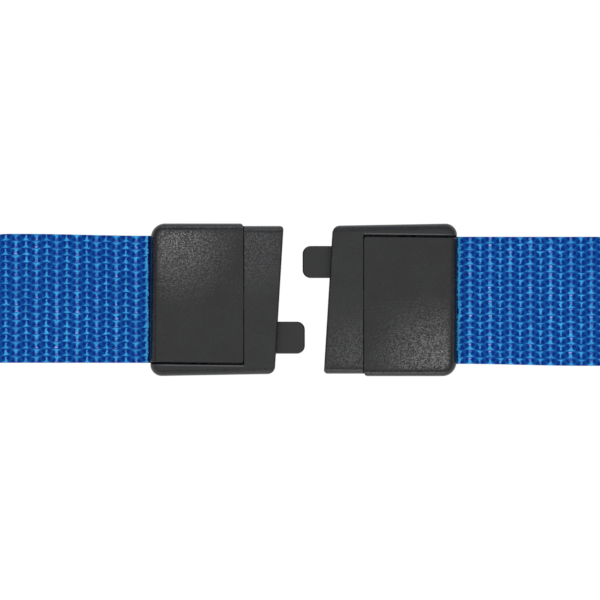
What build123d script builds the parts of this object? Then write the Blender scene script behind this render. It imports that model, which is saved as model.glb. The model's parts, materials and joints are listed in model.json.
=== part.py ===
from build123d import *
import math
import os

# Gait belt: 2 in webbing closed by a buckle of two identical halves, each with one tongue and one slot.
# Units are millimetres. The table is Z = 0, the strap runs along X, and the wearer's waist is inside the loop.
# The right half is the left half turned by 180 degrees about Z, so only the left half is drawn.

# --- whole belt ---------------------------------------------------------------------------------------------
SHIFT_Y = -98.155           # puts the middle of the belt's box at Y = 0
WEB_WIDTH = 50.8
WEB_THICK = 1.8
WEB_Y = 0.2                 # middle of the strap across its width
FLAT_END_X = 150.0          # the strap lies flat as far as this, then turns onto its edge
STRAIGHT_END_X = 195.0      # it keeps straight as far as this, then bends round the loop
TWIST_LENGTH = 105.0
LOOP_BACK_Y = 225.0         # middle of the strap at the far side of the loop
LOOP_SIDE_HANDLE = 110.0
LOOP_BACK_HANDLE = 333.38
CURVE_LENGTH = 105.0        # the tight bend after each twist
TWIST_SECTIONS, CURVE_SECTIONS, BACK_SECTIONS = 15, 12, 40

# --- buckle half, seen from above ---------------------------------------------------------------------------
HEIGHT = 13.0
COVER_TOP = 13.4
STRAP_END_X = -61.2
RIM_OUTER_Y = (-30.5, -29.6)    # at the strap end and at the nose: the rim's sides taper
RIM_INNER_Y = (-25.7, -26.1)
RIM_BEVEL = (0.45, 0.16)    # width and depth of the bevel along the rim's inner top edge
HEAD_BACK_X = -23.7
HEAD_SIDE_Y = 29.5
NOSE_X = -9.78              # where the slanted nose crosses Y = 0
NOSE_SLOPE = 0.0605
COVER_FRONT_X = -24.1
COVER_RIM_Y = (-24.85, -25.25)
COVER_SIDE_Y = 30.5
COVER_END_X = -61.17
COVER_END_SLOPE = 0.009
COVER_UNDER_Z = 10.7
COVER_TRAVEL = 0.8
LATCH_TRAVEL = 1.4
LOWER_WALL_TOP = 5.8

# --- tongue, slot and latch ---------------------------------------------------------------------------------
TONGUE_Y = (-21.5, -8.7)
TONGUE_Z = (5.0, 8.0)
TONGUE_TIP_X = 0.46
TONGUE_BACK_X = -35.0
SLOT_Y = (8.4, 21.8)
SLOT_Z = (4.8, 8.2)
SLOT_END_X = -20.5
LATCH_Y = (9.5, 20.7)
LATCH_MID_Y = 15.1
POST_X = (-31.0, -27.0)
BOSS_X, BOSS_Y = -30.5, -15.1

# --- strap bars, back plate, screws and springs -------------------------------------------------------------
BAR_X, BAR_Z, BAR_R = -42.0, 6.0, 2.5
BAR_GAP = 0.05
PLATE_X = (-36.0, -12.5)
PLATE_Y = (-27.6, 27.6)
PLATE_THICK = 1.4
SCREWS = [(BOSS_X, BOSS_Y), (-33.6, 23.0), (-16.0, -25.2), (-16.0, 25.2)]
SPRING_X = (-33.4, -28.4)
SPRING_Y = (-5.45, 5.95)
SPRING_Z = 7.2
SPRING_R, SPRING_WIRE_R, SPRING_PITCH = 1.5, 0.25, 1.14

# --- tail, keeper and label ---------------------------------------------------------------------------------
TAIL_Z = 1.95
MAIN_Z = 3.85               # middle of the right strap where it lies on the tail
TAIL_END_X = 146.0
TIP_LENGTH = 3.0
KEEPER_X = (129.0, 141.0)
KEEPER_THICK = 0.9
LABEL_LENGTH, LABEL_HEIGHT, LABEL_THICK = 62.0, 32.0, 0.5


# --- drawing helpers ----------------------------------------------------------------------------------------
def block(x, y, z):
    """A box between two X, two Y and two Z values."""
    size = (x[1] - x[0], y[1] - y[0], z[1] - z[0])
    return Pos((x[0] + x[1]) / 2, (y[0] + y[1]) / 2, (z[0] + z[1]) / 2) * Box(*size)


def post(x, y, z, radius):
    """An upright cylinder between two Z values."""
    return Pos(x, y, (z[0] + z[1]) / 2) * Cylinder(radius, z[1] - z[0])


def outline(corners):
    """A flat face from (x, y, corner radius) corners."""
    ends, edges = [], []
    for i, (x, y, radius) in enumerate(corners):
        here = Vector(x, y)
        before = (Vector(*corners[i - 1][:2]) - here).normalized()
        after = (Vector(*corners[(i + 1) % len(corners)][:2]) - here).normalized()
        half = math.acos(before.dot(after)) / 2
        reach = radius / math.tan(half)
        first, last = here + before * reach, here + after * reach
        if radius:
            inward = (before + after).normalized()
            middle = here + inward * (radius / math.sin(half) - radius)
            edges.append(ThreePointArc(first, middle, last))
        ends.append((first, last))
    for i, (first, _) in enumerate(ends):
        edges.append(Line(ends[i - 1][1], first))
    return make_face(Curve() + edges)


def upright(corners, z):
    """A prism standing on an outline in X and Y."""
    return Pos(0, 0, z[0]) * extrude(outline(corners), z[1] - z[0])


def along_y(corners, y):
    """A prism running along Y from an outline in X and Z."""
    side = Plane(origin=(0, y[1], 0), x_dir=(1, 0, 0), z_dir=(0, -1, 0))
    return extrude(side * outline(corners), y[1] - y[0])


def along_x(corners, x):
    """A prism running along X from an outline in Y and Z."""
    side = Plane(origin=(x[0], 0, 0), x_dir=(0, 1, 0), z_dir=(1, 0, 0))
    return extrude(side * outline(corners), x[1] - x[0])


def turned(shape):
    """The same piece on the right half."""
    return Rot(0, 0, 180) * shape


def nose_x(y):
    return NOSE_X + NOSE_SLOPE * y


def nose_prism(top):
    """Everything behind the slanted nose face, with the nose's top edge rounded."""
    lean = -math.degrees(math.atan(NOSE_SLOPE))
    profile = [(-70, -1, 0), (0, -1, 0), (0, top, 1.0), (-70, top, 0)]
    return Pos(NOSE_X, 0, 0) * Rot(0, 0, lean) * along_y(profile, (-40, 40))


# --- buckle half --------------------------------------------------------------------------------------------
def under_cover(high_y):
    """Outline of the open tray under the cover: its rim side runs at a slight slant."""
    (strap_y, head_y), slope_run = RIM_INNER_Y, HEAD_BACK_X - STRAP_END_X
    beyond_y = strap_y + (strap_y - head_y) * (80 + STRAP_END_X) / slope_run
    return [(-80, beyond_y, 0), (HEAD_BACK_X, head_y, 0), (HEAD_BACK_X, high_y, 0), (-80, high_y, 0)]


def rim_bevel():
    """The sliver cut from the rim's inner top edge, and the diagonal corner where it meets the head."""
    (wide, deep), (strap_y, head_y) = RIM_BEVEL, RIM_INNER_Y
    slant = math.degrees(math.atan((head_y - strap_y) / (HEAD_BACK_X - STRAP_END_X)))
    profile = [(-wide, 5, 0), (-wide, 0, 0), (0.1, -deep * (wide + 0.1) / wide, 0), (0.1, 5, 0)]
    sliver = along_x(profile, (-40.0, -1.7))
    corner = [(-1.8, -wide, 0), (-1.8, 1.6, 0), (0.4, 1.6, 0)]
    cut = sliver + upright(corner, (-0.5, 5))
    return Pos(HEAD_BACK_X, head_y, HEIGHT) * Rot(0, 0, slant) * cut


def body():
    """Housing: solid head at the nose, rim down one side, open tray under the cover."""
    top_y, (low_y, nose_y) = HEAD_SIDE_Y, RIM_OUTER_Y
    plan = [
        (STRAP_END_X, low_y, 4.6),
        (nose_x(nose_y), nose_y, 3.2),
        (nose_x(top_y), top_y, 1.5),
        (STRAP_END_X, top_y, 5.0),
    ]
    lower = upright(plan, (0, LOWER_WALL_TOP))
    lower = fillet(lower.edges().group_by(Axis.Z)[0], 0.8)
    far_y = nose_y + (nose_y - low_y) * 0.3
    raised = [(STRAP_END_X, low_y, 4.6), (5, far_y, 0), (5, top_y, 0), (STRAP_END_X, top_y, 0)]
    upper = upright(raised, (3, HEIGHT))
    top_edges = upper.edges().group_by(Axis.Z)[-1]
    rim_edges = top_edges.filter_by(lambda e: e.center().Y < top_y - 1 and e.center().X < 4)
    upper = fillet(rim_edges, 3.9) - upright(under_cover(60), (0, 20))
    top_edges = upper.edges().group_by(Axis.Z)[-1]
    side_edge = top_edges.filter_by(lambda e: e.center().Y > top_y - 0.01)
    upper = fillet(side_edge, 4.0)
    upper = upper & nose_prism(HEIGHT) & upright(plan, (0, HEIGHT))
    shell = lower + upper

    shell -= rim_bevel()
    shell -= upright(under_cover(25.9), (1.5, 20))
    shell += block((-56.8, HEAD_BACK_X + 0.5), (25.9, 27.4), (1, 10.3))
    shell += block((-36.6, HEAD_BACK_X + 0.5), (-26.5, 26.5), (1, 2.4))
    shell += block((TONGUE_BACK_X, HEAD_BACK_X + 0.5), TONGUE_Y, (2, TONGUE_Z[0] - 0.05))
    shell += post(BOSS_X, BOSS_Y, (2, 9.6), 3.0)
    shell += post(SCREWS[1][0], SCREWS[1][1], (2, 8.4), 2.0)
    shell += block((-36, -26), (-7.2, -5.5), (2, 9.5))
    for guide_y in ((7.9, 9.2), (21.0, 22.3)):
        shell += block((-31.4, -26.0), guide_y, (2, 8.0))

    shell -= block((HEAD_BACK_X - 1, 5), (TONGUE_Y[0] - 0.05, TONGUE_Y[1] + 0.05), (4.95, 8.05))
    shell -= block((SLOT_END_X, 5), SLOT_Y, SLOT_Z)
    shell -= block((-31.4, -13.4), (9.2, 21.0), (1, SLOT_Z[0]))
    shell -= block((HEAD_BACK_X - 0.1, -22.4), (-5.0, 4.4), (8.4, 10.2))
    shell -= block(*((a - 0.1, b + 0.1) for a, b in (PLATE_X, PLATE_Y)), (-1, PLATE_THICK + 0.05))
    for x, y in SCREWS:
        shell -= post(x, y, (0, 7.3), 0.85)
    bar_bore = Pos(BAR_X, 0, BAR_Z) * Rot(90, 0, 0) * Cylinder(BAR_R + 0.04, 56.4)
    return shell - bar_bore


def cover():
    """Push cover: top plate, skirt on two sides, hook, spring rib and the slanted cam rib."""
    x0, (y0, front_y), y1 = COVER_END_X, COVER_RIM_Y, COVER_SIDE_Y
    end_low, end_high = x0 + COVER_END_SLOPE * y0, x0 + COVER_END_SLOPE * y1
    blank = [(end_low, y0, 0), (COVER_FRONT_X, front_y, 0), (COVER_FRONT_X, y1, 0), (end_high, y1, 5.6)]
    lid = upright(blank, (6.0, COVER_TOP))
    outer = lid.edges().group_by(Axis.Z)[-1]
    outer = outer.filter_by(lambda e: e.center().X < COVER_FRONT_X - 1 and e.center().Y > y0 + 1)
    lid = fillet(outer, 4.0)
    seam = lid.edges().group_by(Axis.Z)[-1]
    seam = seam.filter_by(lambda e: e.center().Y < y0)
    lid = fillet(seam, 0.5)
    front = [(COVER_FRONT_X, front_y, 1.3), (COVER_FRONT_X, y1, 1.5)]
    trimmed = [(end_low, y0, 1.0), *front, (end_high, y1, 5.6)]
    lid &= upright(trimmed, (0, 20))
    inner = [(-59.4, -40, 0), (0, -40, 0), (0, 28.6, 0), (-59.4, 28.6, 3.6)]
    lid -= upright(inner, (0, COVER_UNDER_Z))
    lid -= block((-70, -55.7), (-40, 26.6), (0, 8.5))

    lid += block((-25.7, COVER_FRONT_X - 0.1), (-4, 4), (8.6, 11))
    lid += block((COVER_FRONT_X - 0.2, -22.6), (-4, 4), (8.6, 10.0))
    lid += block((-35.6, -26.4), (6.0, 7.4), (5.2, 11))
    lean = COVER_TRAVEL / LATCH_TRAVEL
    return lid + cam_bar(1.0, (4.9, 11), (-30.0, -28.0), lean)


def cam_bar(half_width, z, x, lean):
    """A bar whose two faces lean along the path the cover takes past the latch."""
    def middle(height):
        return LATCH_MID_Y - (height - 7.0) * lean

    corners = [
        (middle(z[0]) - half_width, z[0], 0),
        (middle(z[0]) + half_width, z[0], 0),
        (middle(z[1]) + half_width, z[1], 0),
        (middle(z[1]) - half_width, z[1], 0),
    ]
    return along_x(corners, x)


def latch():
    """Latch plate: catch tooth at the front, post with the slanted cam slot at the back."""
    plate = block((POST_X[0], -13.9), LATCH_Y, (3.2, 4.6))
    tooth = [(-16.8, 4.0, 0), (-13.9, 4.0, 0), (-13.9, 4.9, 0), (-15.6, 6.3, 0), (-16.8, 6.3, 0)]
    plate += along_y(tooth, (10.6, 19.6))
    plate += block(POST_X, LATCH_Y, (4, 9.3))
    return plate - cam_bar(1.15, (0, 12), (-30.2, -27.8), COVER_TRAVEL / LATCH_TRAVEL)


def tongue_plate():
    """Tongue: load-bearing plate with the catch recess under its tip."""
    low, high = TONGUE_Y
    tip = [(TONGUE_TIP_X, low, 3.2), (TONGUE_TIP_X, high, 3.2)]
    plan = [(TONGUE_BACK_X, low, 1), *tip, (TONGUE_BACK_X, high, 1)]
    plate = upright(plan, TONGUE_Z)
    plate = chamfer(plate.edges().group_by(Axis.Z)[-1], 0.45)
    plate -= block((TONGUE_TIP_X - 6.5, TONGUE_TIP_X - 3.0), (low + 1.4, high - 1.4), (4, 6.4))
    return plate - post(BOSS_X, BOSS_Y, (0, 20), 3.05)


def strap_bar():
    """Steel bar the strap goes round."""
    bar = Pos(BAR_X, -0.4, BAR_Z) * Rot(90, 0, 0) * Cylinder(BAR_R, 55.2)
    return chamfer(bar.edges().filter_by(GeomType.CIRCLE), 0.3)


def back_plate():
    """Plate under the half that closes the latch pocket, with four counterbores."""
    plan = [(x, y, 2.0) for x, y in ((PLATE_X[0], PLATE_Y[0]), (PLATE_X[1], PLATE_Y[0]),
                                     (PLATE_X[1], PLATE_Y[1]), (PLATE_X[0], PLATE_Y[1]))]
    plate = upright(plan, (0, PLATE_THICK))
    for x, y in SCREWS:
        plate -= post(x, y, (-1, 0.8), 1.85)
        plate -= post(x, y, (-1, 5), 0.9)
    return plate


def back_screws():
    """The four screws of one half, with cross recesses."""
    screws = []
    for x, y in SCREWS:
        head = post(x, y, (0.15, 0.78), 1.7)
        head -= block((x - 1.0, x + 1.0), (y - 0.2, y + 0.2), (0, 0.45))
        head -= block((x - 0.2, x + 0.2), (y - 1.0, y + 1.0), (0, 0.45))
        screws.append(head + post(x, y, (0.7, 7.0), 0.8))
    return Compound(children=screws)


def cover_springs():
    """The two coil springs that push one cover back."""
    length = SPRING_Y[1] - SPRING_Y[0] - 2 * SPRING_WIRE_R
    coils = []
    for x in SPRING_X:
        path = Helix(pitch=SPRING_PITCH, height=length, radius=SPRING_R)
        section = RegularPolygon(SPRING_WIRE_R, 8)
        wire = sweep(Plane(origin=path @ 0, z_dir=path % 0) * section, path=path)
        coils.append(Pos(x, SPRING_Y[0] + SPRING_WIRE_R, SPRING_Z) * Rot(-90, 0, 0) * wire)
    return Compound(children=coils)


# --- webbing ------------------------------------------------------------------------------------------------
def bent_line(points, bends):
    """Edges that follow X-Z points, each inner corner bent to its radius."""
    edges, start = [], Vector(*points[0])
    for i, radius in enumerate(bends, start=1):
        here = Vector(*points[i])
        before = (Vector(*points[i - 1]) - here).normalized()
        after = (Vector(*points[i + 1]) - here).normalized()
        half = math.acos(before.dot(after)) / 2
        reach = radius / math.tan(half)
        first, last = here + before * reach, here + after * reach
        middle = here + (before + after).normalized() * (radius / math.sin(half) - radius)
        edges += [Line(start, first), ThreePointArc(first, middle, last)]
        start = last
    edges.append(Line(start, Vector(*points[-1])))
    return edges


def strap(edges):
    """Sweeps the webbing's section along X-Z edges."""
    side = Plane(origin=(0, 0, 0), x_dir=(1, 0, 0), z_dir=(0, -1, 0))
    path = Wire([side * edge for edge in edges])
    section = Plane(origin=path @ 0, x_dir=(0, 1, 0), z_dir=path % 0) * Rectangle(WEB_WIDTH, WEB_THICK)
    return Pos(0, WEB_Y, 0) * sweep(section, path=path)


def wrap(side):
    """The half turn round the strap bar, from its top to its underside."""
    turn = BAR_R + BAR_GAP + WEB_THICK / 2
    x = side * abs(BAR_X)
    return [ThreePointArc((x, BAR_Z + turn), (x - side * turn, BAR_Z), (x, BAR_Z - turn))]


def webbing_left():
    """Left strap: flat on the table, up into the housing, round the bar and back to its sewn end."""
    turn = BAR_R + BAR_GAP + WEB_THICK / 2
    rise = [(-86, 0.9), (-61, 6.95), (-51, 6.95), (-44, BAR_Z + turn)]
    main = [(-FLAT_END_X, 0.9), *rise, (BAR_X, BAR_Z + turn)]
    top = bent_line(main, [20, 14, 5, 3])
    under = [(BAR_X, BAR_Z - turn), (-44, BAR_Z - turn), (-51, 5.05), (-58.6, 5.05)]
    low = bent_line(under, [3, 5])
    return strap(top + wrap(-1) + low)


def webbing_right():
    """Right strap: from the twist, over the tail, to the top of the friction bar."""
    turn = BAR_R + BAR_GAP + WEB_THICK / 2
    rise = [(90, MAIN_Z), (61, 6.95), (51, 6.95), (44, BAR_Z + turn)]
    main = [(FLAT_END_X, MAIN_Z), *rise, (-BAR_X, BAR_Z + turn)]
    top = bent_line(main, [20, 14, 5, 3])
    return Pos(0, -2 * WEB_Y, 0) * strap(top)


def webbing_tail():
    """Free tail: round the friction bar and back out under the right strap."""
    turn = BAR_R + BAR_GAP + WEB_THICK / 2
    fall = [(44, BAR_Z - turn), (51, 5.05), (61, 5.05), (90, TAIL_Z)]
    out = [(-BAR_X, BAR_Z - turn), *fall, (TAIL_END_X, TAIL_Z)]
    low = bent_line(out, [3, 5, 14, 20])
    return Pos(0, -2 * WEB_Y, 0) * strap(wrap(1) + low)


def loop_path(steps=2000):
    """Points and running length of the strap's middle line round the loop, left to right."""
    left = [
        (-STRAIGHT_END_X, WEB_Y),
        (-STRAIGHT_END_X - LOOP_SIDE_HANDLE, WEB_Y),
        (-LOOP_BACK_HANDLE, LOOP_BACK_Y),
        (0, LOOP_BACK_Y),
    ]
    straight = (STRAIGHT_END_X - FLAT_END_X) / 90
    points = [(-FLAT_END_X - straight * i, WEB_Y) for i in range(90)]
    for i in range(steps + 1):
        t = i / steps
        weights = ((1 - t) ** 3, 3 * t * (1 - t) ** 2, 3 * t * t * (1 - t), t ** 3)
        points.append(tuple(sum(w * p[k] for w, p in zip(weights, left)) for k in (0, 1)))
    points += [(-x, y) for x, y in reversed(points[:-1])]
    lengths = [0.0]
    for (x0, y0), (x1, y1) in zip(points, points[1:]):
        lengths.append(lengths[-1] + math.hypot(x1 - x0, y1 - y0))
    return points, lengths


PATH, RUN = loop_path()
LOOP_LENGTH = RUN[-1]


def smooth(t):
    t = min(max(t, 0.0), 1.0)
    return t * t * (3 - 2 * t)


def loop_plane(run, out=0.0, up=0.0):
    """Plane square to the strap: its x axis runs across the webbing, its y axis points outwards."""
    i = min(range(len(RUN)), key=lambda k: abs(RUN[k] - run))
    i = min(max(i, 1), len(RUN) - 2)
    (x0, y0), (x1, y1) = PATH[i - 1], PATH[i + 1]
    along = Vector(x1 - x0, y1 - y0, 0).normalized()
    if run < 0.01 or run > LOOP_LENGTH - 0.01:
        along = Vector(-1, 0, 0)
        i = 0 if run < 0.01 else len(RUN) - 1
    inward = Vector(along.Y, -along.X, 0)
    from_end = min(run, LOOP_LENGTH - run)
    turn = math.pi / 2 * smooth(from_end / TWIST_LENGTH)
    on_right = run > LOOP_LENGTH / 2
    lift = (MAIN_Z - WEB_THICK / 2) * (1 - smooth(from_end / TWIST_LENGTH)) if on_right else 0.0
    across = inward * math.cos(turn) + Vector(0, 0, math.sin(turn))
    height = WEB_WIDTH / 2 * math.sin(turn) + WEB_THICK / 2 * math.cos(turn) + lift
    across_y = -2 * WEB_Y * (1 - smooth(from_end / TWIST_LENGTH)) if on_right else 0.0
    middle = Vector(PATH[i][0], PATH[i][1] + across_y, height)
    outward = along.cross(across) * -1
    return Plane(origin=middle + outward * out + across * up, x_dir=across, z_dir=along)


def spread(start, end, count):
    return [start + (end - start) * i / count for i in range(count)]


def ribbon(runs, width, thick, out=0.0):
    """A strip of the loop through sections at the given running lengths."""
    return loft([loop_plane(run, out) * Rectangle(width, thick) for run in runs], ruled=True)


def webbing_loop():
    """The loop behind the buckle: a turn onto its edge at each end, and the long stretch standing between."""
    back_start, back_end = TWIST_LENGTH + CURVE_LENGTH, LOOP_LENGTH - TWIST_LENGTH - CURVE_LENGTH
    left = spread(0, TWIST_LENGTH, TWIST_SECTIONS) + spread(TWIST_LENGTH, back_start, CURVE_SECTIONS)
    right = spread(back_end, LOOP_LENGTH - TWIST_LENGTH, CURVE_SECTIONS)
    right += spread(LOOP_LENGTH - TWIST_LENGTH, LOOP_LENGTH, TWIST_SECTIONS) + [LOOP_LENGTH]
    runs = {
        "webbing_left_turn": left + [back_start],
        "webbing_back": spread(back_start, back_end, BACK_SECTIONS) + [back_end],
        "webbing_right_turn": right,
    }
    return {name: ribbon(run, WEB_WIDTH, WEB_THICK) for name, run in runs.items()}


def tail_tip():
    """Heat-sealed end of the tail."""
    middle = WEB_Y - 2 * WEB_Y
    y = (middle - WEB_WIDTH / 2, middle + WEB_WIDTH / 2)
    return block((TAIL_END_X, TAIL_END_X + TIP_LENGTH), y, (TAIL_Z - 0.8, TAIL_Z + 0.8))


def tail_keeper():
    """Loop round the right strap and the tail."""
    middle = WEB_Y - 2 * WEB_Y
    reach = WEB_WIDTH / 2 + 0.5
    top = MAIN_Z + WEB_THICK / 2 + 0.1 + KEEPER_THICK
    outer = [
        (middle - reach - KEEPER_THICK, 0, 0.8),
        (middle + reach + KEEPER_THICK, 0, 0.8),
        (middle + reach + KEEPER_THICK, top, 0.8),
        (middle - reach - KEEPER_THICK, top, 0.8),
    ]
    ring = along_x(outer, KEEPER_X)
    return ring - block((100, 200), (middle - reach, middle + reach), (KEEPER_THICK, top - KEEPER_THICK))


# --- stitching and label ------------------------------------------------------------------------------------
def stitch(plane, length, radius):
    """One thread stitch lying along the plane's Z axis."""
    return plane * Cylinder(radius, length)


def end_stitching():
    """Rows of stitches that close the left strap's fold inside the housing."""
    rows = []
    for z in (6.95 + WEB_THICK / 2 + 0.2, 5.05 - WEB_THICK / 2 - 0.2):
        for column in (-57.6, -55.4, -53.2):
            for i in range(12):
                y = WEB_Y - 22 + 4 * i
                rows.append(stitch(Plane(origin=(column, y, z), z_dir=(0, 1, 0)), 2.6, 0.16))
    return Compound(children=rows)


def keeper_stitching():
    """Two rows of stitches that close the keeper's loop."""
    top = MAIN_Z + WEB_THICK / 2 + 0.1 + KEEPER_THICK + 0.2
    rows = []
    for y in (-4.0, 4.0):
        for i in range(4):
            x = KEEPER_X[0] + 1.5 + 3 * i
            rows.append(stitch(Plane(origin=(x, y, top), z_dir=(1, 0, 0)), 1.9, 0.16))
    return Compound(children=rows)


def care_label():
    """Blank label on the outside of the strap, at the back of the loop."""
    start = (LOOP_LENGTH - LABEL_LENGTH) / 2
    out = WEB_THICK / 2 + 0.05 + LABEL_THICK / 2
    runs = spread(start, start + LABEL_LENGTH, 6) + [start + LABEL_LENGTH]
    return ribbon(runs, LABEL_HEIGHT, LABEL_THICK, out)


def label_stitching():
    """Stitches round the label, just inside its edge."""
    middle, inset = LOOP_LENGTH / 2, 2.0
    out = WEB_THICK / 2 + 0.05 + LABEL_THICK + 0.2
    half_length, half_height = LABEL_LENGTH / 2 - inset, LABEL_HEIGHT / 2 - inset
    stitches = []
    for i in range(20):
        run = middle - half_length + (i + 0.5) * 2 * half_length / 20
        for up in (-half_height, half_height):
            stitches.append(stitch(loop_plane(run, out, up), 1.9, 0.16))
    for i in range(9):
        up = -half_height + (i + 0.5) * 2 * half_height / 9
        for run in (middle - half_length, middle + half_length):
            upright_plane = Plane(origin=loop_plane(run, out, up).origin, z_dir=(0, 0, 1))
            stitches.append(stitch(upright_plane, 1.9, 0.16))
    return Compound(children=stitches)


# --- everything ---------------------------------------------------------------------------------------------
halves = {
    "body": body(),
    "cover": cover(),
    "latch": latch(),
    "tongue_plate": tongue_plate(),
    "back_plate": back_plate(),
    "back_screws": back_screws(),
    "cover_springs": cover_springs(),
}
nodes = {}
for name, shape in halves.items():
    nodes["left_" + name] = shape
    nodes["right_" + name] = turned(shape)
nodes["left_anchor_bar"] = strap_bar()
nodes["right_friction_bar"] = turned(strap_bar())
nodes["webbing_left"] = webbing_left()
nodes.update(webbing_loop())
nodes["webbing_right"] = webbing_right()
nodes["webbing_tail"] = webbing_tail()
nodes["tail_tip"] = tail_tip()
nodes["tail_keeper"] = tail_keeper()
nodes["left_end_stitching"] = end_stitching()
nodes["keeper_stitching"] = keeper_stitching()
nodes["care_label"] = care_label()
nodes["label_stitching"] = label_stitching()

os.makedirs("parts", exist_ok=True)
for name, shape in nodes.items():
    export_step(Pos(0, SHIFT_Y, 0) * shape, "parts/" + name + ".step")
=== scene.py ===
"""Gait belt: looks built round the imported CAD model. Lengths are in metres unless a name ends in _MM."""
import json
import math

import bmesh
import bpy
import numpy as np
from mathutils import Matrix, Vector


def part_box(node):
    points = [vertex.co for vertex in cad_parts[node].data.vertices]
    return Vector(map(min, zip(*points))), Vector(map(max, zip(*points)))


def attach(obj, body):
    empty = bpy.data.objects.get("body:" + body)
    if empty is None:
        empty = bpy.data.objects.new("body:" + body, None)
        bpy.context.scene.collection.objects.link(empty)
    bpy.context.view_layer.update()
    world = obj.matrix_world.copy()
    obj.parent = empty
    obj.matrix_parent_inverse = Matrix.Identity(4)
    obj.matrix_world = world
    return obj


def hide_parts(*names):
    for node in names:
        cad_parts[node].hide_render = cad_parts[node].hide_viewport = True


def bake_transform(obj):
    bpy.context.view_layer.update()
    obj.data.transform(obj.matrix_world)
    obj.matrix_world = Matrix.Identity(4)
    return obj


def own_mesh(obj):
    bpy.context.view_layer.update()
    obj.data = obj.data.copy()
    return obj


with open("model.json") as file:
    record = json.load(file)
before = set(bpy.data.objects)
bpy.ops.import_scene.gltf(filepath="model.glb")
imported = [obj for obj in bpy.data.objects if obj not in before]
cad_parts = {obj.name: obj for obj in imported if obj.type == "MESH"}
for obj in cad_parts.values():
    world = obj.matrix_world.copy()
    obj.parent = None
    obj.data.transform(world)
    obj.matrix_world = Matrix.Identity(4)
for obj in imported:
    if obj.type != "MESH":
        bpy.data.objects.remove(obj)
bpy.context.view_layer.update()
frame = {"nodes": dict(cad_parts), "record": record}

# --- sizes that repeat the CAD's own ----------------------------------------------------------------------
MM = 0.001
WEB_WIDTH_MM, WEB_THICK_MM, WEB_Y_MM = 50.8, 1.8, 0.2
FLAT_END_MM, STRAIGHT_END_MM, TWIST_MM = 150.0, 195.0, 105.0
LOOP_BACK_MM, SIDE_HANDLE_MM, BACK_HANDLE_MM = 225.0, 110.0, 333.38
BAR_X_MM, BAR_Z_MM, WRAP_MM = 42.0, 6.0, 3.45
TAIL_Z_MM, MAIN_Z_MM, TAIL_END_MM = 1.95, 3.85, 146.0
UPPER_EXIT_Z_MM, LOWER_EXIT_Z_MM = 6.95, 5.05    # strap heights where it leaves the housing
SEWN_END_MM = 58.6          # the left strap's end, folded back under itself
INTO_FROM_MM, INTO_RUN_MM = 92.0, 32.0           # where it starts to rise into the housing, and how far
BAR_FROM_MM, BAR_RUN_MM = 52.0, 9.0              # where it starts to rise to the bar, and how far
FINE_FROM_MM = 58.0         # outside this distance the strap shows, and its mesh is finer
RIM_INNER_MM, RIM_BEVEL_MM = 25.7, 0.45      # the rim's inner edge at the strap end, and its bevel's width
RIM_STRAP_END_MM, RIM_HEAD_END_MM = 61.20, 23.70
RIM_WIDENS_MM = 0.4
RIM_TAPER = RIM_WIDENS_MM / (RIM_STRAP_END_MM - RIM_HEAD_END_MM)
TURN_END_MM = 210.0         # running length of the twist and the tight bend after it
PICK_MM = 4.07              # spacing of the weft picks along the strap
ROW_MM = 2.835              # one row is two warp yarns
RELIEF_MM = 0.4             # depth of the weave
EDGE_MM = 0.75              # width of the strap's rounded edge
SPREAD_MM = 0.8             # how much wider the strap lies where the buckle doesn't pinch it
SPREAD_FROM_MM, SPREAD_RUN_MM = 62.0, 50.0
KEEPER_PINCH_MM, PINCH_RUN_MM = 118.0, 11.0
LEFT_COLUMN_MM = 62.8       # a column of the weave shows just outside each cover at these distances
RIGHT_COLUMN_MM = 62.35
FRINGE_MM = 0.35            # from that column to the painted highlight line where the strap dives under the cover; the painted shadow of the cover's mouth starts just beyond it
KEEPER_MIDDLE_MM = 135.0

left_lo, left_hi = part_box("left_body")
right_lo, right_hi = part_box("right_body")
BUCKLE_Y = (left_lo.y + right_hi.y) / 2


def srgb(r, g, b):
    """Linear colour from 0-255 display values."""
    def linear(c):
        c /= 255
        return c / 12.92 if c <= 0.04045 else ((c + 0.055) / 1.055) ** 2.4

    return (linear(r), linear(g), linear(b), 1.0)


# --- shader writing ---------------------------------------------------------------------------------------
class Num:
    """A number in a node tree, so that a pattern can be written as arithmetic."""

    def __init__(self, tree, socket):
        self.tree, self.socket = tree, socket

    def math(self, operation, *others):
        node = self.tree.nodes.new("ShaderNodeMath")
        node.operation = operation
        for i, value in enumerate((self, *others)):
            if isinstance(value, Num):
                self.tree.links.new(value.socket, node.inputs[i])
            else:
                node.inputs[i].default_value = value
        return Num(self.tree, node.outputs[0])

    def __add__(self, other):
        return self.math("ADD", other)

    def __sub__(self, other):
        return self.math("SUBTRACT", other)

    def __mul__(self, other):
        return self.math("MULTIPLY", other)

    def __truediv__(self, other):
        return self.math("DIVIDE", other)

    def ramp(self, low, high, out_low=0.0, out_high=1.0):
        """Smooth step from out_low at low to out_high at high."""
        node = self.tree.nodes.new("ShaderNodeMapRange")
        node.interpolation_type = "SMOOTHSTEP"
        self.tree.links.new(self.socket, node.inputs["Value"])
        for key, value in zip(("From Min", "From Max", "To Min", "To Max"), (low, high, out_low, out_high)):
            node.inputs[key].default_value = value
        return Num(self.tree, node.outputs["Result"])


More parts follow.
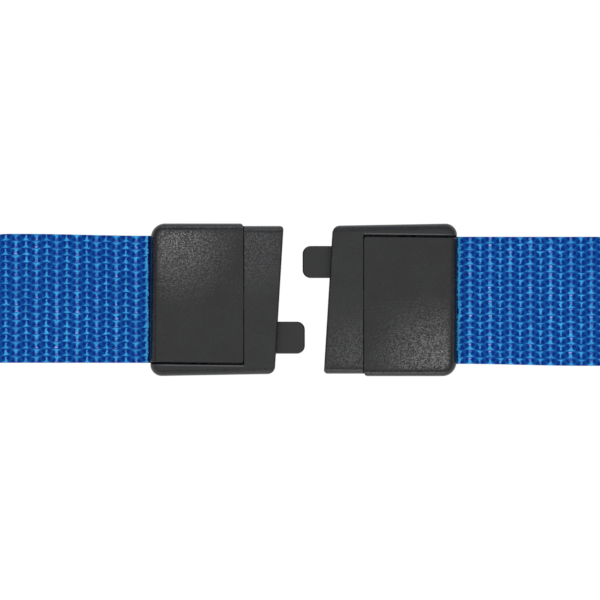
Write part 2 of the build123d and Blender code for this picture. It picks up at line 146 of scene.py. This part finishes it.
class Surface:
    """A Principled material with short ways to add textures to it."""

    def __init__(self, name, slot_values):
        self.material = bpy.data.materials.new(name)
        self.material.use_nodes = True
        self.tree = self.material.node_tree
        self.shader = self.tree.nodes["Principled BSDF"]
        for key, value in slot_values.items():
            self.shader.inputs[key].default_value = value

    def coordinate(self, kind="Object"):
        return self.tree.nodes.new("ShaderNodeTexCoord").outputs[kind]

    def split(self, socket):
        node = self.tree.nodes.new("ShaderNodeSeparateXYZ")
        self.tree.links.new(socket, node.inputs[0])
        return [Num(self.tree, output) for output in node.outputs]

    def uv(self, name):
        node = self.tree.nodes.new("ShaderNodeUVMap")
        node.uv_map = name
        return self.split(node.outputs[0])

    def noise(self, scale, detail=2.0, roughness=0.5, vector=None):
        node = self.tree.nodes.new("ShaderNodeTexNoise")
        node.inputs["Scale"].default_value = scale
        node.inputs["Detail"].default_value = detail
        node.inputs["Roughness"].default_value = roughness
        self.tree.links.new(vector or self.coordinate(), node.inputs["Vector"])
        return Num(self.tree, node.outputs["Fac"])

    def mix(self, amount, first, second):
        """Colour between two colours or sockets."""
        node = self.tree.nodes.new("ShaderNodeMix")
        node.data_type = "RGBA"
        self.tree.links.new(amount.socket, node.inputs[0])
        for index, colour in ((6, first), (7, second)):
            if isinstance(colour, tuple):
                node.inputs[index].default_value = colour
            else:
                self.tree.links.new(colour, node.inputs[index])
        return node.outputs[2]

    def colour(self, socket):
        self.tree.links.new(socket, self.shader.inputs["Base Color"])

    def roughness(self, number):
        self.tree.links.new(number.socket, self.shader.inputs["Roughness"])

    def bump(self, number, height, strength=1.0):
        node = self.tree.nodes.new("ShaderNodeBump")
        node.inputs["Distance"].default_value = height
        node.inputs["Strength"].default_value = strength
        self.tree.links.new(number.socket, node.inputs["Height"])
        previous = self.shader.inputs["Normal"].links
        if previous:
            self.tree.links.new(previous[0].from_socket, node.inputs["Normal"])
        self.tree.links.new(node.outputs[0], self.shader.inputs["Normal"])


# --- materials --------------------------------------------------------------------------------------------
def near_outer_corner(s, corner, reach):
    """1 on top of each half at corner, measured from the buckle's middle, fading to 0 at reach from it."""
    x, y, _ = s.split(s.coordinate())
    dx = x.math("ABSOLUTE") - corner[0]
    dy = (y - BUCKLE_Y) * x.math("SIGN") * -1.0 - corner[1]
    facing_up = s.split(s.coordinate("Normal"))[2].ramp(0.9, 0.995)
    return (dx * dx + dy * dy).math("SQRT").ramp(0.0, reach, 1.0, 0.0) * facing_up


def rim_edge(s):
    """1 along the bevel of each rim's inner edge, beside the cover, where a painted highlight line goes."""
    x, y, _ = s.split(s.coordinate())
    along = x.math("ABSOLUTE") * 1000
    out = (y - BUCKLE_Y) * x.math("SIGN") * 1000
    inner = (along * -1.0 + RIM_STRAP_END_MM) * RIM_TAPER + RIM_INNER_MM
    beyond = out - inner
    line = beyond.ramp(0.0, 0.12) * beyond.ramp(RIM_BEVEL_MM, RIM_BEVEL_MM + 0.15, 1.0, 0.0)
    return line * along.ramp(RIM_HEAD_END_MM, RIM_HEAD_END_MM + 0.6) * along.ramp(55.0, 59.0, 1.0, 0.3)


def moulded_plastic(
    name, dark, light, grain_height, rough, corner_glint=0.0, corner=(0.0, 0.0), reach=0.02, bevel_highlight=False
):
    """Black moulded plastic: fine spark-eroded grain, painted glints on its crests near one corner, and
    uneven gloss.

    The arguments say how much paler the crests are at corner, as painted glints, and whether the rim's bevel
    gets a painted highlight line.
    """
    s = Surface(name, {"Specular IOR Level": 0.4})
    grain = s.noise(2600, 3.0, 0.62)
    fleck = s.noise(1250, 1.0, 0.5)
    cloud = s.noise(95, 3.0, 0.6)
    mottled = s.mix(cloud.ramp(0.3, 0.7) * 0.5 + fleck.ramp(0.4, 0.7) * 0.5, dark, light)
    crests = s.noise(1900, 1.0, 0.5).ramp(0.44, 0.64)
    # painted glints: paler crests of the grain near each half's outer corner, on faces that point up
    with_corner_glints = s.mix(crests * near_outer_corner(s, corner, reach) * corner_glint, mottled, srgb(160, 160, 162))
    # painted highlight line along each rim's inner bevel, fading towards the strap end
    s.colour(s.mix(rim_edge(s) * 0.8, with_corner_glints, srgb(88, 88, 91)) if bevel_highlight else with_corner_glints)
    s.roughness(cloud.ramp(0.3, 0.7, rough - 0.04, rough + 0.05) + fleck.ramp(0.35, 0.7, -0.05, 0.05))
    s.bump(grain * 0.5 + fleck * 1.6, grain_height)
    return s.material


def steel(name, tone, rough, scratch_scale):
    s = Surface(name, {"Metallic": 1.0})
    streak = s.noise(scratch_scale, 4.0, 0.7)
    dull = tuple(c * 0.7 for c in tone[:3]) + (1.0,)
    s.colour(s.mix(streak.ramp(0.35, 0.7), dull, tone))
    s.roughness(streak.ramp(0.3, 0.7, rough - 0.06, rough + 0.1))
    s.bump(streak, 0.00003)
    return s.material


def weave(s, u, v):
    """Shapes of the plain weave at u along and v across, in mm.

    They are the floats, drawn as painted highlights, the hollows beside them, drawn as painted shade, the
    crossing floats of every other column, drawn as paler painted highlights, and the painted glints between
    those. t goes from 0 at a float's wide end to 1 at the next row.
    """
    column = u / PICK_MM
    near = (column + 0.5).math("FLOOR")
    du = ((column - near) * PICK_MM).math("ABSOLUTE")
    odd = near.math("MODULO", 2.0).math("ABSOLUTE").ramp(0.4, 0.6)
    rows = (v - WEB_WIDTH_MM / 2) / ROW_MM
    up = rows.math("FRACT")
    down = (rows * -1.0).math("FRACT")
    t = up + (down - up) * odd
    flare = ((t / -0.5) + 1.0).math("MAXIMUM", 0.0).math("POWER", 1.6)
    half_width = t.ramp(0.08, 0.32, 0.6, 0.0) + flare * 1.1 + odd * 0.2 + 0.42
    fill = (du / half_width).ramp(0.25, 1.2, 1.0, 0.0)
    length = t * (odd * 0.25 + 1.0)
    crest = fill * length.ramp(0.68, 0.98, 1.0, 0.0) * t.ramp(0.0, 0.1)
    back = (t * -1.0) + 1.0
    cross = (du / (back * -0.9 + 0.95)).ramp(0.3, 1.2, 1.0, 0.0) * back.ramp(0.3, 0.55, 1.0, 0.0) * odd
    lens_u = (du - 1.05) / 1.15
    lens_t = (t - 0.7) / 0.36
    hollow = (lens_u.math("ABSOLUTE") + lens_t.math("ABSOLUTE")).ramp(0.3, 1.7, 1.0, 0.0)
    glint = (back - 0.18).math("ABSOLUTE").ramp(0.02, 0.11, 1.0, 0.0) * du.ramp(0.2, 0.75, 1.0, 0.0) * odd
    return crest, hollow, cross, glint


def webbing_material(name, deep, middle, bright, pale, uv_name="strap"):
    """Plain-woven webbing, driven by the strap's own lengthwise and crosswise measure."""
    s = Surface(name, {"Specular IOR Level": 0.06})
    u, v, _ = s.uv(uv_name)
    u = u * 100 + (s.noise(170, 2.0, 0.5) - 0.5) * 0.7 + (s.noise(1000, 2.0, 0.6) - 0.5) * 1.6
    v = v * 100 + (s.noise(240, 1.0, 0.5) - 0.5) * 0.5 + (s.noise(800, 2.0, 0.6) - 0.5) * 0.9
    crest, hollow, cross, glint = weave(s, u, v)
    fibre = s.noise(2600, 2.0, 0.6)
    patch = s.noise(330, 2.0, 0.5)
    wide = s.noise(60, 2.0, 0.5)
    # painted shade in the hollows between the floats
    body = s.mix(hollow * 0.9 + patch.ramp(0.3, 0.7) * 0.1, middle, deep)
    # paler painted highlights on the crossing floats
    crossed = s.mix(cross * patch.ramp(0.3, 0.7, 0.25, 0.75), body, pale)
    uneven = patch.ramp(0.3, 0.65, 0.5, 1.0) * wide.ramp(0.3, 0.7, 0.85, 1.0) * fibre.ramp(0.2, 0.7, 0.8, 1.0)
    # painted highlight line where the strap turns up into the cover
    fringe_highlight = (u - FRINGE_MM).math("ABSOLUTE").ramp(0.1, 0.45, 1.0, 0.0) * patch.ramp(0.3, 0.6, 0.6, 1.0)
    # painted highlights on the floats' crests
    lit = s.mix((crest * uneven).math("MAXIMUM", fringe_highlight), crossed, bright)
    # painted glints
    glinting = s.mix(glint * patch.ramp(0.5, 0.66), lit, srgb(176, 186, 250))
    # painted shadow in each cover's mouth: dark navy from just past the painted highlight line to about 9 mm
    mouth_shadow = (u - FRINGE_MM).ramp(0.3, 0.6) * (u - FRINGE_MM).ramp(8.0, 9.0, 1.0, 0.0)
    s.colour(s.mix(mouth_shadow, glinting, srgb(0, 20, 78)))
    s.roughness(fibre.ramp(0.3, 0.7, 0.42, 0.6))
    s.bump(crest + fibre * 0.25 - hollow * 0.5, 0.0002, 0.6)
    return s.material


def thread_material(name, dark, light):
    s = Surface(name, {"Sheen Weight": 0.2})
    twist = s.noise(2400, 3.0, 0.6)
    s.colour(s.mix(twist.ramp(0.3, 0.7), dark, light))
    s.roughness(twist.ramp(0.3, 0.7, 0.5, 0.7))
    s.bump(twist, 0.00008)
    return s.material


LABEL_RIB = 0.0005


def label_material(name):
    """Blank woven satin tape."""
    s = Surface(name, {"Sheen Weight": 0.25})
    z = s.split(s.coordinate())[2]
    ribs = (z * (2 * math.pi / LABEL_RIB)).math("SINE")
    fibre = s.noise(1800, 3.0, 0.6)
    s.colour(s.mix(fibre.ramp(0.25, 0.75), srgb(224, 224, 219), srgb(243, 243, 240)))
    s.roughness(fibre.ramp(0.3, 0.7, 0.42, 0.58))
    s.bump(ribs + fibre, 0.00004)
    return s.material


def sealed_material(name):
    """Webbing end melted into a glossy strip."""
    s = Surface(name, {"Specular IOR Level": 0.55})
    lumps = s.noise(700, 3.0, 0.6)
    s.colour(s.mix(lumps.ramp(0.3, 0.7), srgb(8, 44, 102), srgb(24, 80, 150)))
    s.roughness(lumps.ramp(0.3, 0.7, 0.25, 0.45))
    s.bump(lumps, 0.0002)
    return s.material


MATERIALS = {
    "housing_plastic": moulded_plastic(
        "housing_plastic",
        srgb(18, 19, 21),
        srgb(33, 34, 36),
        0.00005,
        0.33,
        corner_glint=0.16,
        corner=(0.022, 0.023),
        reach=0.026,
        bevel_highlight=True,
    ),
    "cover_plastic": moulded_plastic(
        "cover_plastic",
        srgb(12, 13, 15),
        srgb(26, 27, 29),
        0.00006,
        0.22,
        corner_glint=0.34,
        corner=(0.052, 0.025),
        reach=0.03,
    ),
    "tongue_plastic": moulded_plastic("tongue_plastic", srgb(24, 25, 25), srgb(32, 33, 33), 0.00004, 0.38),
    "back_plastic": moulded_plastic("back_plastic", srgb(30, 30, 33), srgb(40, 40, 43), 0.00004, 0.5),
    "latch_steel": steel("latch_steel", srgb(58, 58, 61), 0.45, 700),
    "screw_steel": steel("screw_steel", srgb(105, 105, 110), 0.38, 900),
    "spring_steel": steel("spring_steel", srgb(210, 210, 214), 0.25, 1200),
    "bar_steel": steel("bar_steel", srgb(46, 46, 48), 0.45, 600),
    "webbing_blue": webbing_material(
        "webbing_blue", srgb(0, 38, 122), srgb(5, 80, 162), srgb(72, 182, 244), srgb(80, 126, 212)
    ),
    "sealed_tip": sealed_material("sealed_tip"),
    "keeper_webbing": webbing_material(
        "keeper_webbing", srgb(0, 42, 116), srgb(6, 70, 150), srgb(48, 138, 208), srgb(66, 104, 194)
    ),
    "thread_navy": thread_material("thread_navy", srgb(10, 40, 92), srgb(26, 70, 136)),
    "label_cloth": label_material("label_cloth"),
    "thread_white": thread_material("thread_white", srgb(206, 206, 202), srgb(238, 238, 235)),
}
SLOTS = {part["node"]: part["material_slot"] for part in frame["record"]["subparts"]}


def dress(piece, slot):
    piece.data.materials.clear()
    piece.data.materials.append(MATERIALS[slot])


for node, piece in frame["nodes"].items():
    dress(piece, SLOTS[node])


# --- strap routes -----------------------------------------------------------------------------------------
def smooth(t):
    t = np.clip(t, 0, 1)
    return t * t * (3 - 2 * t)


def rise(x, flat_z, exit_z, top_z):
    """Strap height at distance x from the buckle's middle: flat, up into the housing, up to the bar."""
    into = smooth((INTO_FROM_MM - x) / INTO_RUN_MM)
    to_bar = smooth((BAR_FROM_MM - x) / BAR_RUN_MM)
    return flat_z + (exit_z - flat_z) * into + (top_z - exit_z) * to_bar


def stations(far, near, step):
    return np.linspace(far, near, max(2, int(round(abs(far - near) / step)) + 1))


def half_turn(count=22):
    """Round the strap bar from its top to its underside, as distances from the buckle's middle."""
    angle = np.linspace(0, math.pi, count)
    return np.stack([BAR_X_MM - WRAP_MM * np.sin(angle), BAR_Z_MM + WRAP_MM * np.cos(angle)], 1)


def main_run(flat_z):
    """From the end of the flat stretch to the top of the bar."""
    seen, hidden = stations(FLAT_END_MM, FINE_FROM_MM, 0.6), stations(FINE_FROM_MM, BAR_X_MM, 1.0)
    x = np.concatenate([seen[:-1], hidden])
    return np.stack([x, rise(x, flat_z, UPPER_EXIT_Z_MM, BAR_Z_MM + WRAP_MM)], 1)


def under_run(end, flat_z):
    """From the underside of the bar outwards."""
    x = stations(BAR_X_MM, end, 0.8)[1:]
    return np.stack([x, rise(x, flat_z, LOWER_EXIT_Z_MM, BAR_Z_MM - WRAP_MM)], 1)


def spread_out(distance):
    """0 where the buckle pinches the strap, 1 where it lies at its full width, 0 again by the keeper."""
    widening = smooth((distance - SPREAD_FROM_MM) / SPREAD_RUN_MM)
    return widening * (1 - smooth((distance - KEEPER_PINCH_MM) / PINCH_RUN_MM))


def flat_frames(route, side):
    """Origins, across, outward and running length for a route of (distance, height) on one side."""
    shift = -side * (WEB_Y_MM + SPREAD_MM / 2 * spread_out(route[:, 0]))
    points = np.stack([side * route[:, 0], shift, route[:, 1]], 1)
    along = np.gradient(points, axis=0) * (1, 0, 1)
    along /= np.linalg.norm(along, axis=1)[:, None]
    across = np.tile([0.0, 1.0, 0.0], (len(points), 1))
    across[:, 1] += SPREAD_MM / WEB_WIDTH_MM * spread_out(route[:, 0])
    outward = np.cross(along, [0.0, 1.0, 0.0])
    if outward[0, 2] < 0:
        outward = -outward
    run = np.concatenate([[0], np.cumsum(np.linalg.norm(np.diff(points, axis=0), axis=1))])
    return points, across, outward, run


def loop_frames(step=1.08):
    """The same for the loop behind the buckle, from the left strap's end to the right strap's."""
    corners = np.array([
        (-STRAIGHT_END_MM, WEB_Y_MM),
        (-STRAIGHT_END_MM - SIDE_HANDLE_MM, WEB_Y_MM),
        (-BACK_HANDLE_MM, LOOP_BACK_MM),
        (0, LOOP_BACK_MM),
    ])
    t = np.linspace(0, 1, 1500)[:, None]
    left = (1 - t) ** 3 * corners[0] + 3 * t * (1 - t) ** 2 * corners[1]
    left = left + 3 * t ** 2 * (1 - t) * corners[2] + t ** 3 * corners[3]
    lead = np.linspace(-FLAT_END_MM, -STRAIGHT_END_MM, 60)[:-1]
    left = np.concatenate([np.stack([lead, np.full(len(lead), WEB_Y_MM)], 1), left])
    path = np.concatenate([left, left[-2::-1] * (-1, 1)])
    run = np.concatenate([[0], np.cumsum(np.linalg.norm(np.diff(path, axis=0), axis=1))])
    even = np.linspace(0, run[-1], int(run[-1] / step) + 1)
    path = np.stack([np.interp(even, run, path[:, 0]), np.interp(even, run, path[:, 1])], 1)
    along = np.gradient(path, axis=0)
    along[0] = along[-1] = (-1, 0)
    along /= np.linalg.norm(along, axis=1)[:, None]
    inward = np.stack([along[:, 1], -along[:, 0], np.zeros(len(path))], 1)
    from_end = np.minimum(even, even[-1] - even)
    turned = smooth(from_end / TWIST_MM)
    angle = (math.pi / 2 * turned)[:, None]
    up = np.array([0.0, 0.0, 1.0])
    across = inward * np.cos(angle) + up * np.sin(angle)
    outward = -inward * np.sin(angle) + up * np.cos(angle)
    right = even > even[-1] / 2
    lift = np.where(right, (MAIN_Z_MM - WEB_THICK_MM / 2) * (1 - turned), 0)
    shift = np.where(right, -2 * WEB_Y_MM * (1 - turned), 0)
    height = WEB_WIDTH_MM / 2 * np.sin(angle[:, 0]) + WEB_THICK_MM / 2 * np.cos(angle[:, 0]) + lift
    points = np.stack([path[:, 0], path[:, 1] + shift, height], 1)
    return points, across, outward, even


def smooth_between(x, low, high):
    return smooth((x - low) / (high - low))


def weave_height(u, v):
    """Height of the weave, 0 to 1: the floats that the material draws stand proud of the hollows."""
    column = u / PICK_MM
    near = np.floor(column + 0.5)
    du = np.abs(column - near) * PICK_MM
    odd = np.abs(near) % 2
    rows = (v - WEB_WIDTH_MM / 2) / ROW_MM
    t = np.where(odd > 0.5, -rows % 1, rows % 1)
    flare = np.maximum(1 - t / 0.5, 0) ** 1.6
    half_width = 0.6 * (1 - smooth_between(t, 0.08, 0.32)) + flare * 1.1 + odd * 0.2 + 0.42
    fill = 1 - smooth_between(du / half_width, 0.35, 1.4)
    crest = fill * (1 - smooth_between(t * (1 + 0.25 * odd), 0.6, 1.0)) * smooth_between(t, 0.0, 0.16)
    groove = np.abs(np.sin(math.pi * rows)) ** 0.5
    return 0.35 * groove + 0.65 * crest


def strap_mesh(name, frames, u, turned=None, across_count=144, width=WEB_WIDTH_MM, thick=WEB_THICK_MM,
               relief=RELIEF_MM):
    """Closed webbing mesh through the frames, woven in relief on both faces and rounded at its edges.

    u is the weave's lengthwise measure at each frame, and turned says where the weave is seen upside down.
    """
    points, across, outward, _ = frames
    a = np.linspace(-width / 2, width / 2, across_count + 1)
    edge = np.clip((np.abs(a) - (width / 2 - EDGE_MM)) / EDGE_MM, 0, 1)
    half = thick / 2 * np.sqrt(np.clip(1 - edge ** 2, 0, 1))
    turned = np.zeros(len(points), bool) if turned is None else turned
    flip = np.where(turned, -1.0, 1.0)[:, None]
    v_top = flip * a[None, :] + width / 2
    top = half * (1 - 2 * relief / thick * (1 - weave_height(u[:, None], v_top)))
    low = -half * (1 - 2 * relief / thick * (1 - weave_height(u[:, None] + PICK_MM, v_top)))
    a_ring = np.concatenate([a, a[-2:0:-1]])
    n_ring = np.concatenate([top, low[:, -2:0:-1]], 1)
    u_shift = np.concatenate([np.zeros(len(a)), np.full(len(a) - 2, PICK_MM)])
    ring = len(a_ring)
    place = points[:, None, :] + across[:, None, :] * a_ring[None, :, None]
    place = place + outward[:, None, :] * n_ring[:, :, None]
    vertices = place.reshape(-1, 3) * MM + np.array([0, BUCKLE_Y, 0])
    i, j = np.meshgrid(np.arange(len(points) - 1), np.arange(ring), indexing="ij")
    k = (j + 1) % ring
    quads = np.stack([i * ring + j, i * ring + k, (i + 1) * ring + k, (i + 1) * ring + j], -1).reshape(-1, 4)
    corner_i = np.stack([i, i, i + 1, i + 1], -1).reshape(-1)
    corner_j = np.stack([j, k, k, j], -1).reshape(-1)
    mesh = bpy.data.meshes.new(name)
    last = (len(points) - 1) * ring
    caps = [list(range(ring))[::-1], list(range(last, last + ring))]
    mesh.from_pydata(vertices.tolist(), [], quads.tolist() + caps)
    layer = mesh.uv_layers.new(name="strap")
    uv = np.zeros((len(mesh.loops), 2))
    uv[:len(corner_i), 0] = (u[corner_i] + u_shift[corner_j]) / 100
    uv[:len(corner_i), 1] = (flip[corner_i, 0] * a_ring[corner_j] + width / 2) / 100
    layer.data.foreach_set("uv", uv.astype(np.float32).ravel())
    mesh.polygons.foreach_set("use_smooth", [True] * len(quads) + [False] * 2)
    mesh.validate()
    mesh.update()
    piece = bpy.data.objects.new(name, mesh)
    bpy.context.scene.collection.objects.link(piece)
    outward_normals(piece)
    return piece


def outward_normals(piece):
    """Turns the faces outwards, whichever way the rings ran."""
    work = bmesh.new()
    work.from_mesh(piece.data)
    bmesh.ops.recalc_face_normals(work, faces=work.faces)
    work.to_mesh(piece.data)
    work.free()


def bends(piece):
    """Bakes the piece's placement into its mesh, for the loop's webbing and what is sewn on it, which ride on
    neither half.
    """
    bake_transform(piece)


def part_of(frames, first, last):
    return tuple(column[first:last + 1] for column in frames)


folded_under = under_run(SEWN_END_MM, LOWER_EXIT_Z_MM)
left_route = np.concatenate([main_run(WEB_THICK_MM / 2), half_turn()[1:], folded_under])
left_frames = flat_frames(left_route, -1)
right_frames = flat_frames(main_run(MAIN_Z_MM), 1)
tail_frames = flat_frames(np.concatenate([half_turn(), under_run(TAIL_END_MM, TAIL_Z_MM)]), 1)
loop = loop_frames()
loop_length = loop[3][-1]


def run_at(frames, distance):
    """Running length where the strap is this far from the buckle's middle."""
    along = np.abs(frames[0][:, 0])
    return frames[3][np.argmin(np.abs(along[:200] - distance))]


left_u = left_frames[3] - run_at(left_frames, LEFT_COLUMN_MM)
loop_u = left_u[0] - loop[3]
right_u = right_frames[3] - run_at(right_frames, RIGHT_COLUMN_MM)
right_turned = right_frames[0][:, 0] < KEEPER_MIDDLE_MM
right_u = np.where(right_turned, right_u, loop_u[-1] - right_frames[3])
tail_u = tail_frames[3] + right_u[-1]

turn_end = int(np.argmin(np.abs(loop[3] - TURN_END_MM)))
turn_start = int(np.argmin(np.abs(loop[3] - (loop_length - TURN_END_MM))))
loop_last = len(loop[3]) - 1

WEBBING = [
    ("webbing_left", left_frames, left_u, None, 160, "left_half"),
    ("webbing_left_turn", part_of(loop, 0, turn_end), loop_u[:turn_end + 1], None, 96, "left_half"),
    ("webbing_back", part_of(loop, turn_end, turn_start), loop_u[turn_end:turn_start + 1], None, 84, None),
    ("webbing_right_turn", part_of(loop, turn_start, loop_last), loop_u[turn_start:], None, 96, "right_half"),
    ("webbing_right", right_frames, right_u, right_turned, 160, "right_half"),
    ("webbing_tail", tail_frames, tail_u, None, 96, "right_half"),
]
for node, frames, u, turned, count, body in WEBBING:
    piece = strap_mesh(node + "_woven", frames, u, turned, across_count=count)
    dress(piece, "webbing_blue")
    if body:
        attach(piece, body)
    else:
        bends(piece)
    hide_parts(node)


# --- keeper -----------------------------------------------------------------------------------------------
KEEPER_WIDTH_MM, KEEPER_THICK_MM, KEEPER_CORNER_MM, KEEPER_RELIEF_MM = 12.0, 0.9, 0.8, 0.12


def keeper_frames(count=260):
    """A band once round the strap and tail, following a rounded rectangle in Y and Z."""
    lo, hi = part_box("tail_keeper")
    middle = (lo + hi) / 2
    half_y = (hi.y - lo.y) / MM / 2 - KEEPER_THICK_MM / 2
    half_z = (hi.z - lo.z) / MM / 2 - KEEPER_THICK_MM / 2
    radius = KEEPER_CORNER_MM
    corners = []
    for sy, sz, start in ((1, 1, 0), (-1, 1, 90), (-1, -1, 180), (1, -1, 270)):
        for step in range(6):
            angle = math.radians(start + 90 * step / 5)
            y = sy * (half_y - radius) + radius * math.cos(angle)
            z = sz * (half_z - radius) + radius * math.sin(angle)
            corners.append((y, z))
    corners.append(corners[0])
    loop_points = np.array(corners)
    run = np.concatenate([[0], np.cumsum(np.linalg.norm(np.diff(loop_points, axis=0), axis=1))])
    even = np.linspace(0, run[-1], count)
    y, z = np.interp(even, run, loop_points[:, 0]), np.interp(even, run, loop_points[:, 1])
    centre = Vector((middle.x, middle.y - BUCKLE_Y, middle.z)) / MM
    points = np.stack([np.full(len(even), centre.x), centre.y + y, centre.z + z], 1)
    along = np.stack([np.zeros(len(even)), np.gradient(y), np.gradient(z)], 1)
    along /= np.linalg.norm(along, axis=1)[:, None]
    across = np.tile([1.0, 0.0, 0.0], (len(even), 1))
    outward = np.cross(across, along)
    return points, across, outward, even


keeper_route = keeper_frames()
keeper = strap_mesh(
    "tail_keeper_woven", keeper_route, keeper_route[3],
    across_count=40, width=KEEPER_WIDTH_MM, thick=KEEPER_THICK_MM, relief=KEEPER_RELIEF_MM,
)
dress(keeper, "keeper_webbing")
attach(keeper, "right_half")
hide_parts("tail_keeper")

# --- label and its stitches are copied and baked in place, on neither half --------------------------------
for node in ("care_label", "label_stitching"):
    source = frame["nodes"][node]
    copy = bpy.data.objects.new(node + "_sewn", source.data.copy())
    bpy.context.scene.collection.objects.link(copy)
    bends(copy)
    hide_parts(node)

# --- cover springs are copied and carried by their half ---------------------------------------------------
for half, sign in (("left", -1), ("right", 1)):
    node = half + "_cover_springs"
    copy = bpy.data.objects.new(node + "_coils", frame["nodes"][node].data.copy())
    bpy.context.scene.collection.objects.link(copy)
    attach(copy, half + "_half")
    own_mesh(copy)
    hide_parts(node)

# --- each webbing piece's length is worked out here, and not used -----------------------------------------
for node, frames, *_ in WEBBING:
    length = (frames[3][-1] - frames[3][0]) * MM

# --- floor, light and camera ------------------------------------------------------------------------------
VIEW_WIDTH = 0.240
LENS, SENSOR = 600.0, 36.0
CAMERA_X, CAMERA_Y = -0.00148, BUCKLE_Y - 0.00007
FLOOR_HALF, FLOOR_Z = 3.0, -0.0002
SOFTBOX_HEIGHT, SOFTBOX_SIZE, SOFTBOX_POWER = 1.1, 2.62, 13.3
LAMP_X, LAMP_Y, LAMP_HEIGHT, LAMP_SIZE, LAMP_POWER = 0.054, 0.024, 0.11, 0.007, 0.0026
STRIP_X, STRIP_Y, STRIP_Z, STRIP_LENGTH, STRIP_HEIGHT, STRIP_POWER = 0.042, 0.13, 0.03, 0.1, 0.03, 0.02
HORIZON_GLOW, SKY_GLOW = 1.15, 0.5

floor_mesh = bpy.data.meshes.new("floor")
floor_signs = ((-1, -1), (1, -1), (1, 1), (-1, 1))
floor_corners = [(x * FLOOR_HALF, y * FLOOR_HALF, FLOOR_Z) for x, y in floor_signs]
floor_mesh.from_pydata(floor_corners, [], [(0, 1, 2, 3)])
floor = bpy.data.objects.new("floor", floor_mesh)
bpy.context.scene.collection.objects.link(floor)
floor_paint = bpy.data.materials.new("floor_paint")
floor_paint.use_nodes = True
floor_shader = floor_paint.node_tree.nodes["Principled BSDF"]
floor_shader.inputs["Base Color"].default_value = (0.02, 0.02, 0.02, 1)
floor_shader.inputs["Emission Color"].default_value = (1, 1, 1, 1)
floor_shader.inputs["Emission Strength"].default_value = 1.0
floor_shader.inputs["Specular IOR Level"].default_value = 0.0
floor_mesh.materials.append(floor_paint)
floor.visible_diffuse = False


def area_light(name, place, target, size, power, height=None):
    data = bpy.data.lights.new(name, "AREA")
    data.shape = "RECTANGLE"
    data.size = size
    data.size_y = height or size
    data.energy = power
    lamp = bpy.data.objects.new(name, data)
    lamp.location = place
    lamp.rotation_mode = "QUATERNION"
    lamp.rotation_quaternion = (Vector(target) - Vector(place)).to_track_quat("-Z", "Y")
    lamp.visible_camera = False
    bpy.context.scene.collection.objects.link(lamp)


middle = (0, BUCKLE_Y, 0)
area_light("overhead", (0, BUCKLE_Y, SOFTBOX_HEIGHT), middle, SOFTBOX_SIZE, SOFTBOX_POWER)
for side in (-1, 1):
    # a small lamp over each half's outer corner, and a low strip that lights its outer edge
    lamp_x, lamp_y = LAMP_X * side, BUCKLE_Y - LAMP_Y * side
    area_light("corner_lamp", (lamp_x, lamp_y, LAMP_HEIGHT), (lamp_x, lamp_y, 0), LAMP_SIZE, LAMP_POWER)
    strip_x, strip_y = STRIP_X * side, BUCKLE_Y - STRIP_Y * side
    target = (strip_x, BUCKLE_Y, 0.012)
    area_light("edge_strip", (strip_x, strip_y, STRIP_Z), target, STRIP_LENGTH, STRIP_POWER, STRIP_HEIGHT)

world = bpy.data.worlds.new("studio")
bpy.context.scene.world = world
world.use_nodes = True
backdrop = world.node_tree.nodes["Background"]
backdrop.inputs["Color"].default_value = (1, 1, 1, 1)
direction = world.node_tree.nodes.new("ShaderNodeTexCoord").outputs["Generated"]
split_direction = world.node_tree.nodes.new("ShaderNodeSeparateXYZ")
world.node_tree.links.new(direction, split_direction.inputs[0])
height = Num(world.node_tree, split_direction.outputs[2]).math("ABSOLUTE")
world.node_tree.links.new(height.ramp(0.05, 0.5, HORIZON_GLOW, SKY_GLOW).socket, backdrop.inputs["Strength"])

bpy.context.scene.view_settings.view_transform = "Standard"
camera_data = bpy.data.cameras.new("camera")
camera_data.lens = LENS
camera_data.sensor_width = SENSOR
camera = bpy.data.objects.new("camera", camera_data)
camera.location = (CAMERA_X, CAMERA_Y, VIEW_WIDTH * LENS / SENSOR)
bpy.context.scene.collection.objects.link(camera)
bpy.context.scene.camera = camera
